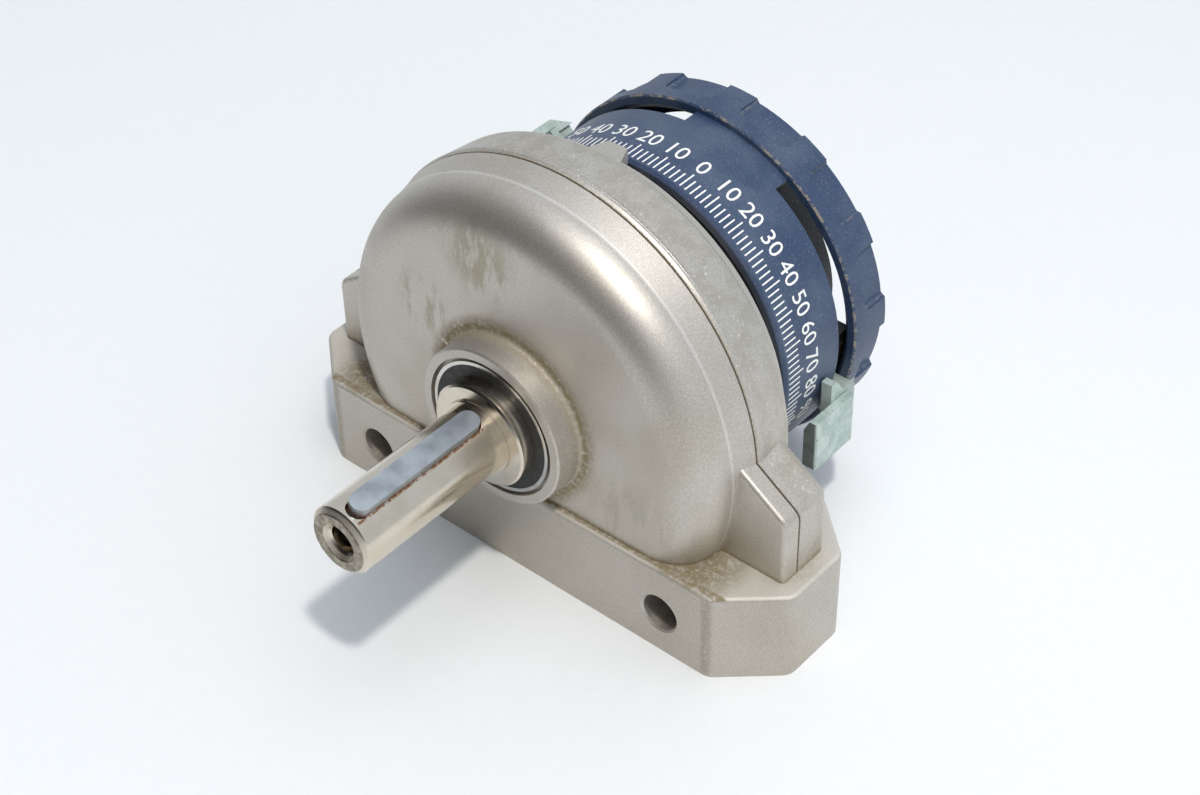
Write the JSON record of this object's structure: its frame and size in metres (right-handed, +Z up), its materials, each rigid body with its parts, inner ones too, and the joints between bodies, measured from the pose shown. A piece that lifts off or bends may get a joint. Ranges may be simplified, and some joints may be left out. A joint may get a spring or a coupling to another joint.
{
  "type": "pneumatic rotary actuator",
  "caption": "Single-vane pneumatic rotary actuator on a wide foot: domed body, keyed output shaft, and a scale drum with adjustable clamped stops behind it.",
  "frame": {"origin": "on the output shaft's axis, in the plane of the front boss face", "axes": "-Y along the output shaft out of the front, +Z up from the foot, +X to the right seen from the shaft end"},
  "size_m": [0.1362, 0.1285, 0.0967],
  "materials": {
    "foot_casting": "die-cast, satin, light wear",
    "housing_casting": "die-cast, satin, light wear",
    "rear_casting": "die-cast, satin, light wear",
    "gasket_rubber": "flat gasket",
    "screw_steel": "black oxide",
    "bearing_steel": "ground",
    "cage_plastic": "moulded",
    "seal_rubber": "moulded",
    "drum_plastic": "moulded, dark blue",
    "shaft_steel": "turned and ground",
    "key_steel": "drawn",
    "vane_aluminium": "machined",
    "lever_casting": "dark coated",
    "stop_zinc": "zinc casting, passivated"
  },
  "bodies": {
    "housing": {"foot_base": "foot_casting", "foot_screws": "screw_steel", "front_housing": "housing_casting", "rear_housing": "rear_casting", "housing_gasket": "gasket_rubber", "housing_screws": "screw_steel", "dowel_pins": "bearing_steel", "front_bearing_outer_ring": "bearing_steel", "front_bearing_balls": "bearing_steel", "front_bearing_cage": "cage_plastic", "front_bearing_seals": "seal_rubber", "rear_bearing_outer_ring": "bearing_steel", "rear_bearing_balls": "bearing_steel", "rear_bearing_cage": "cage_plastic", "rear_bearing_seals": "seal_rubber", "bearing_snap_ring": "screw_steel", "front_shaft_seal": "seal_rubber", "rear_shaft_seal": "seal_rubber", "stator_seal": "seal_rubber", "scale_drum": "drum_plastic", "drum_screws": "screw_steel"},
    "rotor": {"output_shaft": "shaft_steel", "output_key": "key_steel", "vane_core": "vane_aluminium", "vane_seal": "seal_rubber", "vane_key": "key_steel", "front_bearing_inner_ring": "bearing_steel", "rear_bearing_inner_ring": "bearing_steel", "spacer_sleeve": "bearing_steel", "stop_lever": "lever_casting", "lever_key": "key_steel", "lever_washer": "bearing_steel", "lever_bolt": "screw_steel"},
    "left_stop": {"left_stop_block": "stop_zinc", "left_stop_nut": "screw_steel", "left_stop_buffer": "seal_rubber", "left_stop_screw": "screw_steel"},
    "right_stop": {"right_stop_block": "stop_zinc", "right_stop_nut": "screw_steel", "right_stop_buffer": "seal_rubber", "right_stop_screw": "screw_steel"}
  },
  "joints": [
    {"name": "rotor_turn", "type": "hinge", "parent": "housing", "child": "rotor", "pos_m": [0, 0, 0], "axis": [0, 1, 0], "range_deg": [-43.5, 56]},
    {"name": "left_stop_setting", "type": "hinge", "parent": "housing", "child": "left_stop", "pos_m": [0, 0.069, 0], "axis": [0, 1, 0], "range_deg": [-70, 0]},
    {"name": "right_stop_setting", "type": "hinge", "parent": "housing", "child": "right_stop", "pos_m": [0, 0.069, 0], "axis": [0, 1, 0], "range_deg": [0, 30]}
  ]
}
